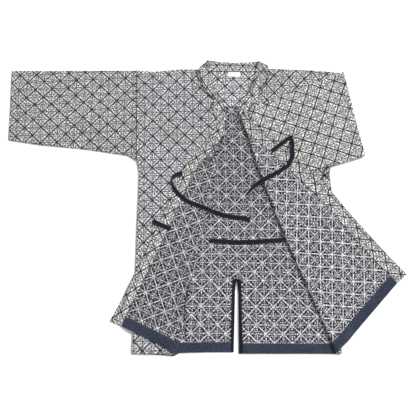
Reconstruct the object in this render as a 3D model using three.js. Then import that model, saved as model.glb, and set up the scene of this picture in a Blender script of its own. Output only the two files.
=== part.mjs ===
// Quilted cotton training jacket, laid open on its back. Millimetres, +Z up, +Y towards the collar.
// Every panel is cut flat, then placed by a map that turns it over its fold and lays it on what is below.
import * as THREE from 'three';

const CLOTH = 1.6;      // quilted cloth
const BAND = 2.4;       // collar band, doubled cloth
const FACING = 0.8;     // navy hem and slit facing
const TAPE = 1.2;       // tie tape
const LAY = 0.8;        // cloth to cloth
const SEAM = 0.3;       // between pieces at a seam
const SHOULDER = 396;
const HEM = -400;
const HEM_DEEP = 27;
const YOKE_END = 286;
const YOKE_SIDE = 250;
const TIE_WIDE = 12;
const ROLL = 1.2;       // least inner radius of a fold

const clamp = (t) => Math.min(1, Math.max(0, t));
const ease = (t) => clamp(t) * clamp(t) * (3 - 2 * clamp(t));
const mix = (a, b, t) => a + (b - a) * t;
// Reads one column of a table at a height y, straight between rows.
const at = (rows, y, key) => {
  for (let i = 1; i < rows.length; i += 1) {
    if (y >= rows[i].y || i === rows.length - 1) {
      const a = rows[i - 1], b = rows[i];
      return mix(a[key], b[key], clamp((a.y - y) / (a.y - b.y)));
    }
  }
  return rows[0][key];
};

// Viewer's left: the wearer's right front. side = armhole or side seam, seam = collar seam, free = band edge.
const RIGHT = [
  { y: 396, side: -294, seam: -110, free: -77 },
  { y: 361, side: -292, seam: -104, free: -74 },
  { y: 326, side: -291, seam: -85, free: -59 },
  { y: 306, side: -290, seam: -67, free: -47 },
  { y: 285, side: -289, seam: -74, free: -38 },
  { y: 252, side: -287, seam: -62, free: -30 },
  { y: 200, side: -285, seam: -50, free: -14 },
  { y: 156, side: -283, seam: -38, free: -6 },
  { y: 129, side: -282, seam: -29, free: 1 },
  { y: 108, side: -276, seam: -22, free: 8 },
  { y: 90, side: -273, seam: -16, free: 14 },
  { y: 66, side: -272, seam: -12, free: 18 },
  { y: 0, side: -272, seam: -10, free: 19 },
  { y: -95, side: -272, seam: -9, free: 21 },
  { y: -200, side: -271, seam: -6, free: 23 },
  { y: -310, side: -270, seam: 0, free: 29 },
  { y: -400, side: -270, seam: 4, free: 37 },
];
// Viewer's right: the wearer's left front.
const LEFT = [
  { y: 396, side: 294, seam: 92, free: 57 },
  { y: 378, side: 293, seam: 95, free: 50 },
  { y: 361, side: 292, seam: 84, free: 43 },
  { y: 326, side: 291, seam: 69, free: 31 },
  { y: 295, side: 289, seam: 54, free: 16 },
  { y: 252, side: 287, seam: 38, free: 1 },
  { y: 222, side: 286, seam: 30, free: -7 },
  { y: 156, side: 283, seam: 17, free: -18 },
  { y: 129, side: 282, seam: 12, free: -24 },
  { y: 112, side: 264, seam: 10, free: -26 },
  { y: 104, side: 259, seam: 9, free: -27 },
  { y: 88, side: 257, seam: 8, free: -29 },
  { y: 40, side: 261, seam: 3, free: -33 },
  { y: -50, side: 263, seam: 2, free: -35 },
  { y: -200, side: 266, seam: 6, free: -31 },
  { y: -310, side: 268, seam: 7, free: -30 },
  { y: -400, side: 269, seam: 3, free: -32 },
];
// The hem of each front rises towards its free edge by this much.
const RISE = { right: 9, left: 30 };
// How far the shoulder edge stands past its straight line, from the viewer's left to the right.
const CROWN = [
  { x: -294, rise: 0 }, { x: -242, rise: -5 }, { x: -167, rise: 3 }, { x: -117, rise: 4 }, { x: -80, rise: 0 },
  { x: 57, rise: 0 }, { x: 97, rise: 8 }, { x: 129, rise: 7 }, { x: 216, rise: 5 }, { x: 283, rise: 0 },
];

// Sleeves, from armhole to cuff; top is the shoulder fold, low the underarm seam.
const SLEEVE_R = [
  { top: [-294.3, 395.5], low: [-282.3, 121] },
  { top: [-318, 395], low: [-307, 136] },
  { top: [-380, 394], low: [-372, 145] },
  { top: [-443, 393], low: [-441, 154] },
  { top: [-550, 391.5], low: [-545, 163] },
  { top: [-655, 390], low: [-645, 177] },
];
// The same towards the viewer's right, with rows along the fold.
const FOLD_S = { a: [303, 396], b: [353, 143], free: 1 };
const FOLD_R = { a: [-32, 277], b: [-156, -376], free: 1 };
const FOLD_L = { a: [6, 277], b: [248, -368], free: -1 };

// A fold line: unit direction, and the normal that points to the part that turns over.
function line({ a, b, free }) {
  const len = Math.hypot(b[0] - a[0], b[1] - a[1]);
  const d = [(b[0] - a[0]) / len, (b[1] - a[1]) / len];
  const m = d[1] * free < 0 ? [-d[1], d[0]] : [d[1], -d[0]];
  return { a, d, m, s: (x, y) => (x - a[0]) * m[0] + (y - a[1]) * m[1] };
}
const foldS = line(FOLD_S), foldR = line(FOLD_R), foldL = line(FOLD_L);

// Height of the fronts' outside face where they lie on the back.
const yokeLift = (x, y) => ease((y - YOKE_END + 34) / 24) * ease((YOKE_SIDE + 30 - Math.abs(x)) / 24);
const hemLift = (y) => ease((HEM + HEM_DEEP + 46 - y) / 22);
const bodyTop = (x, y) => CLOTH + LAY + CLOTH + (FACING + SEAM) * yokeLift(x, y)
  + (2 * FACING + 0.2) * hemLift(y);
const SLEEVE = CLOTH + LAY + CLOTH;
const sleeveTop = () => SLEEVE;
// A fold stands a little proud, and settles over 26 mm.
const loft = (fold, x, y, r) => (2 * r - LAY) * (1 - ease(-fold.s(x, y) / 26));

// The folded sleeve's underside, and its top.
const sleeveBase = (x, y) => SLEEVE + LAY + (FACING + SEAM) * ease((y - 190) / 50)
  * ease((330 - x) / 30) + loft(foldS, x, y, 1.0);
// How far a place is outside the folded sleeve, found where it was cut.
function offSleeve(x, y) {
  const s = -foldS.s(x, y);
  const u = x + 2 * s * foldS.m[0], v = y + 2 * s * foldS.m[1];
  const low = 126 + 0.19 * (u - 282) - 0.00022 * (u - 282) * (u - 282) + 8 * clamp((u - 282) / 25);
  return Math.max(low - v, u - CUFF_L, v - 396, -s);
}
const CUFF_L = 628;

// Where a flap lies: on its own front, on the folded sleeve, or past the side on the floor.
function flapR(x, y) {
  const past = at(RIGHT, y, 'side') - x;
  return mix(bodyTop(x, y) + LAY, 0.4, ease((past - 12) / 24)) + loft(foldR, x, y, ROLL);
}
function flapL(x, y) {
  const past = x - at(LEFT, y, 'side');
  const low = mix(bodyTop(x, y) + LAY, 0.4, ease((past - 12) / 24)) + loft(foldL, x, y, ROLL);
  const high = sleeveBase(x, y) + SLEEVE + LAY;
  return mix(Math.max(high, low), low, ease((offSleeve(x, y) - 16) / 30));
}

// A point cut at x, y and n below the outside face, placed flat or turned over the fold.
function turned(fold, under, over, middle) {
  const place = (x, y, n) => {
    const s = fold.s(x, y);
    if (s <= 0) return [x, y, under(x, y) - n];
    const fx = x - s * fold.m[0], fy = y - s * fold.m[1];
    const t = under(fx, fy), r = (over(fx, fy) - t) / 2, len = Math.PI * (r + middle);
    if (s < len) {
      const turn = s / (r + middle), out = (r + n) * Math.sin(turn);
      return [fx + fold.m[0] * out, fy + fold.m[1] * out, t + r - (r + n) * Math.cos(turn)];
    }
    const px = fx - fold.m[0] * (s - len), py = fy - fold.m[1] * (s - len);
    return [px, py, over(px, py) + n];
  };
  return Object.assign(place, { turns: true });
}
const placeR = turned(foldR, bodyTop, flapR, CLOTH / 2);
const placeL = turned(foldL, bodyTop, flapL, CLOTH / 2);
const placeS = turned(foldS, sleeveTop, sleeveBase, SLEEVE / 2);
const flat = (z) => (x, y, n) => [x, y, z + n];

// The shoulder edge stands in and out a little, and fades 70 mm down.
function crown(x, y) {
  const i = Math.max(1, CROWN.findIndex((r) => r.x >= x)), a = CROWN[i - 1], b = CROWN[i];
  return mix(a.rise, b.rise, clamp((x - a.x) / (b.x - a.x))) * ease((y - SHOULDER + 70) / 70);
}
// The viewer's right fold bows towards the middle by up to 11 mm, with all that lies there.
function settle([x, y, z]) {
  const bow = Math.sin(Math.PI * clamp((277 - y) / 645)) * ease((x - 5) / 60) * ease((270 - x) / 120);
  return [x - 11 * bow, y + (x > CROWN[0].x && x < 283 ? crown(x, y) : 0), z];
}

// Cells: convex polygons of the flat cut that share their corners.
const strip = (rows, p, q) => rows.slice(1).map((b, i) => [p(rows[i]), q(rows[i]), q(b), p(b)]);
const hemmed = (up, key, gap = 0) => (r) => [r[key] + gap, r.y + up * clamp((-250 - r.y) / 150)];
// Splits all cells along the lines n.x = c; near corners count as on the line, so cells keep fitting.
function split(cells, lines) {
  let out = cells;
  for (const [nx, ny, c] of lines) {
    const d = (p) => { const v = p[0] * nx + p[1] * ny - c; return Math.abs(v) < 0.12 ? 0 : v; };
    const cross = (p, q) => {
      const [a, b] = p[0] < q[0] || (p[0] === q[0] && p[1] < q[1]) ? [p, q] : [q, p];
      const t = d(a) / (d(a) - d(b));
      return [mix(a[0], b[0], t), mix(a[1], b[1], t)];
    };
    out = out.flatMap((cell) => {
      if (!cell.some((p) => d(p) > 0) || !cell.some((p) => d(p) < 0)) return [cell];
      const up = [], down = [];
      cell.forEach((p, i) => {
        const q = cell[(i + 1) % cell.length];
        if (d(p) >= 0) up.push(p);
        if (d(p) <= 0) down.push(p);
        if (d(p) * d(q) < 0) { const x = cross(p, q); up.push(x); down.push(x); }
      });
      return [up, down].filter((c) => c.length > 2);
    });
  }
  return out;
}
const across = (fold, list) => list.map((s) => [...fold.m, fold.a[0] * fold.m[0] + fold.a[1] * fold.m[1] + s]);
const uprights = (...xs) => xs.map((x) => [1, 0, x]);
// Lines of the cut that come to lie upright at these x once turned.
const landing = (fold, y, ...xs) => xs.map((x) => {
  const k = Math.PI * (ROLL + CLOTH / 2) - 2 * fold.s(x, y);
  const n = [1 - 2 * fold.m[0] * fold.m[0], -2 * fold.m[0] * fold.m[1]];
  return [...n, (x + k * fold.m[0]) * n[0] + (y + k * fold.m[1]) * n[1]];
});
const levels = (...ys) => ys.map((y) => [0, 1, y]);
const steps = (from, to, by) => Array.from({ length: Math.floor((to - from) / by + 1e-6) + 1 }, (_, i) => from + i * by);
const centre = (cell) => cell.reduce((s, p) => [s[0] + p[0] / cell.length, s[1] + p[1] / cell.length], [0, 0]);

const material = (name, color, roughness) => Object.assign(
  new THREE.MeshStandardMaterial({ color, roughness, metalness: 0 }), { name });
const QUILT = material('quilted_cotton', 0xa3a2a6, 0.95);
const NAVY = material('navy_cotton_twill', 0x3d4454, 0.9);
const WHITE = material('white_label', 0xf2f2f0, 0.85);

const group = new THREE.Group();
group.name = 'kendo_jacket';
function mesh(name, points, faces, mat) {
  const g = new THREE.BufferGeometry();
  g.setAttribute('position', new THREE.BufferAttribute(new Float32Array(points.flatMap(settle)), 3));
  g.setIndex(faces.flat());
  g.computeVertexNormals();
  const m = new THREE.Mesh(g, mat);
  m.name = name;
  group.add(m);
}
// A cut panel made solid between two depths below its outside face.
function panel(name, cells, place, from, to, mat) {
  const index = new Map(), corners = [], tris = [];
  const id = (p) => {
    const key = `${Math.round(p[0] * 1000)},${Math.round(p[1] * 1000)}`;
    if (!index.has(key)) { index.set(key, corners.length); corners.push(p); }
    return index.get(key);
  };
  for (const cell of cells) {
    const ids = cell.map(id).filter((v, i, all) => v !== all[(i + 1) % all.length]);
    let area = 0;
    ids.forEach((v, i) => {
      const a = corners[v], b = corners[ids[(i + 1) % ids.length]];
      area += a[0] * b[1] - a[1] * b[0];
    });
    if (area < 0) ids.reverse();
    for (let i = 1; i + 1 < ids.length; i += 1) tris.push([ids[0], ids[i], ids[i + 1]]);
  }
  const n = corners.length, faces = [];
  const edges = new Set(tris.flatMap((t) => t.map((v, i) => `${v},${t[(i + 1) % 3]}`)));
  const up = Boolean(place.turns);
  const add = (a, b, c) => faces.push(up ? [a, b, c] : [a, c, b]);
  for (const [a, b, c] of tris) { add(a, b, c); add(a + n, c + n, b + n); }
  for (const e of edges) {
    const [a, b] = e.split(',').map(Number);
    if (!edges.has(`${b},${a}`)) { add(a, a + n, b + n); add(a, b + n, b); }
  }
  mesh(name, [...corners.map((p) => place(p[0], p[1], from)), ...corners.map((p) => place(p[0], p[1], to))],
    faces, mat);
}

// Back, in one piece from shoulder to hem, with an open slit at the middle of the hem.
const SLIT_TOP = -212;
// Each side of the slit is two straight stretches, x = base + slope y: it opens fast, then runs nearly even.
const SLIT_LEFT = [{ base: 18.8, slope: 0.1 }, { base: -0.34, slope: 0.0209 }];
const SLIT_RIGHT = [{ base: -27.5, slope: -0.127 }, { base: 1.03, slope: -0.0098 }];
const slitEdges = [...SLIT_LEFT, ...SLIT_RIGHT].map((r) => [1, -r.slope, r.base]);
const inSlit = (c) => {
  const [x, y] = centre(c), edge = (r) => r.base + r.slope * y;
  return y < SLIT_TOP && x > Math.max(...SLIT_LEFT.map(edge)) && x < Math.min(...SLIT_RIGHT.map(edge));
};
const bodyRows = RIGHT.map((r) => ({ y: r.y, a: r.side, b: at(LEFT, r.y, 'side') }));
const backCells = split(strip(bodyRows, (r) => [r.a, r.y], (r) => [r.b, r.y]),
  [...slitEdges, ...levels(SLIT_TOP), ...uprights(...CROWN.slice(1, -1).map((r) => r.x))]).filter((c) => !inSlit(c));
panel('back', backCells, flat(0), 0, CLOTH, QUILT);

// Light lining over the inside of the shoulders, down to a straight edge.
const yokeRows = [{ y: 394, a: -YOKE_SIDE, b: YOKE_SIDE }, { y: YOKE_END, a: -YOKE_SIDE, b: YOKE_SIDE }];
panel('yoke_lining', split(strip(yokeRows, (r) => [r.a, r.y], (r) => [r.b, r.y]),
  uprights(...steps(-200, 200, 50))), flat(CLOTH + SEAM), 0, FACING, QUILT);

// Fronts: flat on the back, turned over the fold, and laid open.
const rollLines = [0, 1.2, 2.4, 3.6, 4.8, 6.2, 7.5, 8.8, 10.2, 11.6, 17, 24, 34];
const cutR = [...across(foldR, rollLines), ...across(foldR, [-150, -90, -45, 58, 84]), ...uprights(-242, -167),
  ...landing(foldR, -200, -272, -283, -294, -306)];
const cutL = [...across(foldL, rollLines), ...across(foldL, [-210, -150, -90, -45, 52, 72, 95, 120, 150, 185, 220, 245]),
  ...landing(foldL, -200, 266, 277, 288, 300), ...levels(...steps(-330, 170, 50))];
const fronts = [
  ['front_right', 'collar_right', 'hem_facing_front_right', RIGHT, -1, RISE.right, placeR, cutR],
  ['front_left', 'collar_left', 'hem_facing_front_left', LEFT, 1, RISE.left, placeL, cutL],
];
// Flaps need small cells where they drop off the body or the sleeve.
const finer = (rows) => rows.flatMap((b, i) => {
  if (!i) return [b];
  const a = rows[i - 1], n = Math.ceil((a.y - b.y) / 30);
  return Array.from({ length: n }, (_, k) => {
    const t = (k + 1) / n;
    return { y: mix(a.y, b.y, t), side: mix(a.side, b.side, t), seam: mix(a.seam, b.seam, t), free: mix(a.free, b.free, t) };
  });
});
for (const [front, collar, facing, rows, sign, up, place, cut] of fronts) {
  const fine = finer(rows), last = rows[rows.length - 1];
  // The facing's upper edge, straight from side to collar seam.
  const fall = up / (last.seam - last.side), top = HEM + HEM_DEEP - fall * last.side;
  const cells = split(strip(fine, hemmed(0, 'side'), hemmed(up, 'seam')), [...cut, [-fall, 1, top]]);
  panel(front, cells, place, 0, CLOTH, QUILT);
  const low = cells.filter((c) => { const [x, y] = centre(c); return y < top + fall * x; });
  panel(facing, low, place, CLOTH + SEAM, CLOTH + SEAM + FACING, NAVY);
  panel(collar, split(strip(fine, hemmed(up, 'seam', -sign * SEAM), hemmed(up, 'free')), cut), place,
    -0.4, BAND - 0.4, QUILT);
}

// Collar at the back of the neck, laid out past the shoulder line; its ends lie up on the fronts.
const NECK = [
  { x: -110, top: 401 }, { x: -101, top: 414 }, { x: -88, top: 431 }, { x: -72, top: 429 }, { x: -53, top: 426 },
  { x: -6, top: 424 }, { x: 40, top: 426 }, { x: 63, top: 429 }, { x: 78, top: 419 }, { x: 91, top: 408 },
];
const neckBase = (x, y) => 3 * (1 - ease((y - SHOULDER) / 26)) * Math.max(ease((-64 - x) / 14), ease((x - 44) / 14));
const neckCells = NECK.slice(1).map((b, i) => {
  const a = NECK[i], low = SHOULDER + SEAM;
  return [[a.x, low], [b.x, low], [b.x, b.top], [a.x, a.top]];
});
panel('collar_back', split(neckCells, [...levels(400, 404, 409, 415, 422), ...uprights(-78, -64, 44, 51, 58)]),
  (x, y, n) => [x, y, neckBase(x, y) + n], 0, BAND, QUILT);

// Facing of the back hem, and the binding that runs round the slit.
const bindRows = [
  { y: -206.5, a: -8, b: 7 }, { y: -210, a: -11.5, b: 10.5 }, { y: -216, a: -12.3, b: 11.5 },
  { y: -306, a: -14.6, b: 13.1 }, { y: HEM, a: -16, b: 15.6 },
];
const bindEnd = bindRows[bindRows.length - 1];
for (const [name, from, to] of [['hem_facing_back_right', -270, bindEnd.a - SEAM],
  ['hem_facing_back_left', bindEnd.b + SEAM, 268.5]]) {
  panel(name, split([[[from, HEM + HEM_DEEP], [to, HEM + HEM_DEEP], [to, HEM], [from, HEM]]],
    uprights(-200, -140, -80, 80, 140, 200)), flat(CLOTH + SEAM), 0, FACING, NAVY);
}
panel('slit_binding', split(strip(bindRows, (r) => [r.a, r.y], (r) => [r.b, r.y]), [...slitEdges, ...levels(SLIT_TOP)])
  .filter((c) => !inSlit(c)), flat(CLOTH + SEAM), 0, FACING, NAVY);

// A sleeve: a flattened tube, open at the cuff and the armhole.
function sleeve(name, sections, place) {
  const loop = (r, out) => {
    const pts = [], w = out ? SLEEVE / 2 : LAY / 2, cuts = [0, 0.06, 0.2, 0.35, 0.5, 0.65, 0.8, 0.94, 1];
    const [a, b] = [r.top, r.low], len = Math.hypot(b[0] - a[0], b[1] - a[1]);
    const d = [(b[0] - a[0]) / len, (b[1] - a[1]) / len], span = len - SLEEVE;
    const put = (along, n) => pts.push([a[0] + d[0] * along, a[1] + d[1] * along, SLEEVE / 2 + n]);
    for (const c of cuts) put(SLEEVE / 2 + c * span, -w);
    for (const k of [45, 90, 135]) put(SLEEVE / 2 + span + w * Math.sin(k * Math.PI / 180), -w * Math.cos(k * Math.PI / 180));
    for (const c of [...cuts].reverse()) put(SLEEVE / 2 + c * span, w);
    for (const k of [45, 90, 135]) put(SLEEVE / 2 - w * Math.sin(k * Math.PI / 180), w * Math.cos(k * Math.PI / 180));
    return pts;
  };
  const outer = sections.map((r) => loop(r, true)), inner = sections.map((r) => loop(r, false));
  const n = outer[0].length, m = sections.length, faces = [];
  const id = (k, i, j) => (k * m + i) * n + (j % n);
  const quad = (a, b, c, d) => faces.push([a, c, b], [a, d, c]);
  for (let j = 0; j < n; j += 1) {
    for (let i = 0; i + 1 < m; i += 1) {
      quad(id(0, i, j), id(0, i + 1, j), id(0, i + 1, j + 1), id(0, i, j + 1));
      quad(id(1, i, j), id(1, i, j + 1), id(1, i + 1, j + 1), id(1, i + 1, j));
    }
    quad(id(0, 0, j), id(0, 0, j + 1), id(1, 0, j + 1), id(1, 0, j));
    quad(id(0, m - 1, j), id(1, m - 1, j), id(1, m - 1, j + 1), id(0, m - 1, j + 1));
  }
  mesh(name, [...outer, ...inner].flat().map((p) => place(...p)), faces, QUILT);
}
const between = (rows, list) => list.map(([i, t]) => {
  const a = rows[i], b = rows[Math.min(i + 1, rows.length - 1)];
  return { top: [mix(a.top[0], b.top[0], t), mix(a.top[1], b.top[1], t)],
    low: [mix(a.low[0], b.low[0], t), mix(a.low[1], b.low[1], t)] };
});
sleeve('sleeve_right', between(SLEEVE_R, [[0, 0], [1, 0], [2, 0], [3, 0], [3, 0.5], [4, 0], [4, 0.5], [5, 0]]),
  flat(0));
// Rows of the folded sleeve run along its fold, s past the fold line, then fan out to the cuff.
const along = (s) => {
  const [x, y] = [FOLD_S.a[0] + foldS.m[0] * s, FOLD_S.a[1] + foldS.m[1] * s];
  const x1 = x + (y - 395.5) * -foldS.d[0] / foldS.d[1];
  const low = 141.5 + 0.05 * s, x2 = x1 + foldS.d[0] / foldS.d[1] * (low - 395.5);
  return { top: [x1, 395.5], low: [x2, low] };
};
const SLEEVE_L = [
  { top: [294.3, 395.5], low: [282.3, 121] },
  { top: [298.5, 395.5], low: [307, 137] },
  ...[-2, 0, 1.6, 3.2, 4.8, 6.4, 8, 9.6, 14, 22, 34].map(along),
  { top: [395, 394], low: [420, 145.5] },
  { top: [450, 393], low: [465, 150] },
  { top: [510, 392], low: [520, 155.5] },
  { top: [570, 391.2], low: [570, 161] },
  { top: [CUFF_L, 390.5], low: [CUFF_L - 8, 168] },
];
sleeve('sleeve_left', SLEEVE_L, placeS);

// Ties: flat tape laid over what is below it.
function tie(name, path, under) {
  const pts = path.flatMap((p, i) => {
    if (i + 1 === path.length) return [p];
    const q = path[i + 1], n = Math.max(1, Math.round(Math.hypot(q[0] - p[0], q[1] - p[1]) / 9));
    return Array.from({ length: n }, (_, k) => [mix(p[0], q[0], k / n), mix(p[1], q[1], k / n)]);
  });
  const rows = pts.map((p, i) => {
    const a = pts[Math.max(0, i - 1)], b = pts[Math.min(pts.length - 1, i + 1)];
    const len = Math.hypot(b[0] - a[0], b[1] - a[1]);
    const w = TIE_WIDE / 2, o = [-(b[1] - a[1]) / len * w, (b[0] - a[0]) / len * w];
    return [[p[0] + o[0], p[1] + o[1]], [p[0] - o[0], p[1] - o[1]]];
  });
  const cells = rows.slice(1).map((r, i) => [rows[i][0], rows[i][1], r[1], r[0]]);
  panel(name, cells, (x, y, n) => [x, y, under(x, y) + n], SEAM + 0.1, SEAM + 0.1 + TAPE, NAVY);
}
const backTop = CLOTH;
// Off the fold, tape falls to the inside of the back.
const overR = (x, y) => mix(flapR(x, y) + 2, backTop, ease((foldR.s(x, y) - 5) / 22));
// Past the band's edge, tape falls to the folded sleeve.
function overL(x, y) {
  const s = Math.max(0, -foldL.s(x, y)) + 9, u = x + (2 * s - 9) * foldL.m[0], v = y + (2 * s - 9) * foldL.m[1];
  const off = at(LEFT, v, 'free') - u;
  const flap = mix(flapL(x, y) + 2, sleeveBase(x, y) + SLEEVE, ease((off - 6) / 16));
  return mix(flap, backTop, ease((foldL.s(x, y) - 6) / 24));
}
tie('tie_upper_right', [[-152, 84], [-167, 80], [-179, 69], [-179, 48], [-167, 29], [-141, 7], [-121, -3], [-96, -12],
  [-71, -23], [-36, -33], [-5, -39], [43, -44]], overR);
tie('tie_lower_right', [[-229, -53], [-181, -74]], overR);
tie('tie_upper_left', [[102, 149], [131, 173], [147, 186], [157, 180], [160, 158], [160, 131], [149, 107], [121, 88],
  [84, 68], [54, 48], [33, 27]], overL);
tie('tie_inner_left', [[142, -98], [62, -105], [-4, -108], [-74, -103]], () => backTop);

// Bare woven label at the back of the neck.
panel('neck_label', strip([{ y: 394, a: -26, b: 9 }, { y: 379, a: -26, b: 9 }], (r) => [r.a, r.y], (r) => [r.b, r.y]),
  flat(CLOTH + SEAM + FACING + 0.3), 0, 0.5, WHITE);

export default group;
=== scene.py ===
import math

import bpy
from mathutils import Matrix, Vector


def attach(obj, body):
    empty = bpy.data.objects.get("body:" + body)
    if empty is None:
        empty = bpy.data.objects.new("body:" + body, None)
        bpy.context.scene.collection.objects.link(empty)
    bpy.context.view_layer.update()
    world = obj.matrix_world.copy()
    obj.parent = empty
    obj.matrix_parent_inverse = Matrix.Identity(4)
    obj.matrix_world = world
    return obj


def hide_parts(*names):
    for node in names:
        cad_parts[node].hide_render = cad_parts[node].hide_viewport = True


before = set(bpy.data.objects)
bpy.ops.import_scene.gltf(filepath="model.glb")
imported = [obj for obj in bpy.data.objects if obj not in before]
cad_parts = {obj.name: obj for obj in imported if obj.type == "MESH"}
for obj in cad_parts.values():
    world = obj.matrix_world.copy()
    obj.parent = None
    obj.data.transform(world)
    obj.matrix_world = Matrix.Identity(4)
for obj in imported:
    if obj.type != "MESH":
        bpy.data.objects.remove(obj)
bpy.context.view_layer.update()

# Sizes in millimetres, as in the CAD source.
CLOTH, BAND, FACING, TAPE, LAY, SEAM = 1.6, 2.4, 0.8, 1.2, 0.8, 0.3
SHOULDER, HEM, HEM_DEEP = 396.0, -400.0, 27.0
YOKE_END, YOKE_SIDE, TIE_WIDE, ROLL = 286.0, 250.0, 12.0, 1.9
CUFF_L, SLIT_TOP = 628.0, -212.0
SLEEVE = CLOTH + LAY + CLOTH
FINE = 3.6  # spacing of the finer cells


def clamp(t):
    return min(1.0, max(0.0, t))


def ease(t):
    t = clamp(t)
    return t * t * (3 - 2 * t)


def mix(a, b, t):
    return a + (b - a) * t


def at(rows, y, key):
    """A column's value at a height, between a table's rows from top to bottom."""
    for a, b in zip(rows, rows[1:]):
        if y >= b["y"] or b is rows[-1]:
            return mix(a[key], b[key], clamp((a["y"] - y) / (a["y"] - b["y"])))


def table(columns, *rows):
    return [dict(zip(columns.split(), row)) for row in rows]


# Fronts: armhole or side seam, collar seam, and the collar band's free edge.
RIGHT = table("y side seam free",
    (396, -294, -110, -77), (361, -292, -104, -74), (326, -291, -85, -59), (306, -290, -67, -47),
    (285, -289, -74, -38), (252, -287, -62, -30), (200, -285, -50, -14), (156, -283, -38, -6),
    (129, -282, -29, 1), (108, -276, -22, 8), (90, -273, -16, 14), (66, -272, -12, 18),
    (0, -272, -10, 19), (-95, -272, -9, 21), (-200, -271, -6, 23), (-310, -270, 0, 29), (-400, -270, 4, 37))
LEFT = table("y side seam free",
    (396, 294, 92, 57), (378, 293, 95, 50), (361, 292, 84, 43), (326, 291, 69, 31), (295, 289, 54, 16),
    (252, 287, 38, 1), (222, 286, 30, -7), (156, 283, 17, -18), (129, 282, 12, -24), (112, 264, 10, -26),
    (104, 259, 9, -27), (88, 257, 8, -29), (40, 261, 3, -33), (-50, 263, 2, -35), (-200, 266, 6, -31),
    (-310, 268, 7, -30), (-400, 269, 3, -32))
RISE = {"right": 9, "left": 30}
# How far the shoulder edge stands past its straight line.
CROWN = table("x rise", (-294, 0), (-242, -5), (-167, 3), (-117, 4), (-80, 0), (57, 0), (97, 8), (129, 7),
    (216, 5), (283, 0))
# How far the hem stands above its straight line.
HEMLINE = table("x rise", (-290, 0), (-270, -1), (-200, -3), (-163, -6), (-148, 2), (-80, 4.5), (-8, 5.5),
    (-3, 5.5), (3, 2), (160, 4), (270, 5), (300, 0))


class Fold:
    """A fold line, its direction, and the normal towards the part that turns over."""

    def __init__(self, a, b, free):
        n = math.hypot(b[0] - a[0], b[1] - a[1])
        self.a, self.d = a, ((b[0] - a[0]) / n, (b[1] - a[1]) / n)
        dx, dy = self.d
        self.m = (-dy, dx) if dy * free < 0 else (dy, -dx)
        self.c = a[0] * self.m[0] + a[1] * self.m[1]

    def s(self, x, y):
        return x * self.m[0] + y * self.m[1] - self.c


FOLD_S = Fold((303, 396), (353, 143), 1)
FOLD_R = Fold((-32, 277), (-156, -376), 1)
FOLD_L = Fold((6, 277), (248, -368), -1)


def yoke_lift(x, y):
    return ease((y - YOKE_END + 34) / 24) * ease((YOKE_SIDE + 30 - abs(x)) / 24)


def hem_lift(y):
    return ease((HEM + HEM_DEEP + 46 - y) / 22)


def body_top(x, y):
    return SLEEVE + (FACING + SEAM) * yoke_lift(x, y) + (2 * FACING + 0.2) * hem_lift(y)


def loft(fold, x, y, r, settle=30):
    return (2 * r - LAY) * (1 - ease(-fold.s(x, y) / settle))


def sleeve_base(x, y):
    lift = ease((y - 190) / 50) * ease((330 - x) / 30)
    return SLEEVE + LAY + (FACING + SEAM) * lift + loft(FOLD_S, x, y, 1.6)


def off_sleeve(x, y):
    """How far a place is outside the folded sleeve, found where it was cut."""
    s = -FOLD_S.s(x, y)
    u, v = x + 2 * s * FOLD_S.m[0], y + 2 * s * FOLD_S.m[1]
    low = 126 + 0.19 * (u - 282) - 0.00022 * (u - 282) ** 2 + 8 * clamp((u - 282) / 25)
    return max(low - v, u - CUFF_L, v - SHOULDER, -s)


def flap_r(x, y):
    past = at(RIGHT, y, "side") - x
    return mix(body_top(x, y) + LAY, 0.4, ease((past - 12) / 24)) + loft(FOLD_R, x, y, ROLL)


def flap_l(x, y):
    past = x - at(LEFT, y, "side")
    low = mix(body_top(x, y) + LAY, 0.4, ease((past - 12) / 24)) + loft(FOLD_L, x, y, ROLL)
    high = max(sleeve_base(x, y) + SLEEVE + LAY, low)
    return mix(high, low, ease((off_sleeve(x, y) - 12) / 30))


def turned(fold, under, over, middle):
    """Places a point cut at x, y and n below the outside face, flat or turned over the fold."""
    def place(x, y, n):
        s = fold.s(x, y)
        if s <= 0:
            return x, y, under(x, y) - n
        fx, fy = x - s * fold.m[0], y - s * fold.m[1]
        t = under(fx, fy)
        r = (over(fx, fy) - t) / 2
        length = math.pi * (r + middle)
        if s < length:
            turn = s / (r + middle)
            out = (r + n) * math.sin(turn)
            return fx + fold.m[0] * out, fy + fold.m[1] * out, t + r - (r + n) * math.cos(turn)
        px, py = fx - fold.m[0] * (s - length), fy - fold.m[1] * (s - length)
        return px, py, over(px, py) + n
    return place


place_r = turned(FOLD_R, body_top, flap_r, CLOTH / 2)
place_l = turned(FOLD_L, body_top, flap_l, CLOTH / 2)
place_s = turned(FOLD_S, lambda x, y: SLEEVE, sleeve_base, SLEEVE / 2)


def flat(z):
    return lambda x, y, n: (x, y, z + n)


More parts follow.
